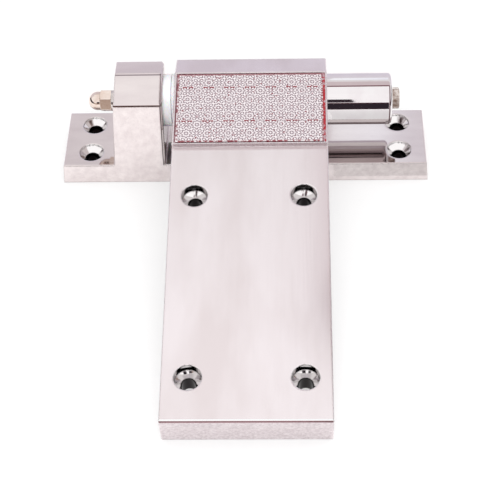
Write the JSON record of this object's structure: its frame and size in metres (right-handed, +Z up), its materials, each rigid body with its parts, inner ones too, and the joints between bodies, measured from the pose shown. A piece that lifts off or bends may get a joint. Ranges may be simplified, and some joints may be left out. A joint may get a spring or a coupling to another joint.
{
  "type": "cold room door hinge",
  "caption": "Rising cold room door hinge: a flanged frame bracket, a wide screw-on door leaf, nylon cams that lift the leaf as it swings, and a sprung barrel.",
  "frame": {"origin": "middle of the frame flange's mounting face", "axes": "+X along the pin from the cams to the spring barrel, +Y away from the leaf, +Z up out of the mounting face"},
  "size_m": [0.2466, 0.2734, 0.069],
  "materials": {
    "polished_casting": "polished",
    "polished_barrel": "polished",
    "white_nylon": "satin",
    "steel_fixings": "satin",
    "nut_steel": "polished",
    "spring_steel": "satin",
    "bush_bronze": "satin",
    "seal_rubber": "matte",
    "red_bed": "gloss",
    "pattern_plate": "gloss"
  },
  "bodies": {
    "frame": {"frame_bracket": "polished_casting", "lower_cam": "white_nylon", "lower_cam_dowels": "steel_fixings", "pivot_pin": "steel_fixings", "pin_grub_screw": "steel_fixings", "nut_washer": "steel_fixings", "lock_washer": "steel_fixings", "acorn_nut": "nut_steel", "spring_barrel": "polished_barrel", "barrel_seal_ring": "seal_rubber", "end_bolt": "steel_fixings", "spring_end_washer": "steel_fixings", "return_spring": "spring_steel"},
    "spring_seat": {"thrust_washer": "steel_fixings"},
    "leaf": {"door_leaf": "polished_casting", "upper_cam": "white_nylon", "upper_cam_dowels": "steel_fixings", "lower_bush": "bush_bronze", "upper_bush": "bush_bronze", "plate_bed": "red_bed", "pattern_plate": "pattern_plate"}
  },
  "joints": [
    {"name": "rise", "type": "slide", "parent": "frame", "child": "spring_seat", "axis": [1, 0, 0], "range_m": [0, 0.0081], "deforming": ["return_spring"]},
    {"name": "swing", "type": "hinge", "parent": "spring_seat", "child": "leaf", "pos_m": [0.005, 0.0038, 0.0468], "axis": [-1, 0, 0], "range_deg": [0, 120]}
  ],
  "couplings": [
    {"joint": "rise", "follows": "swing", "m_per_rad": 0.0038197}
  ]
}
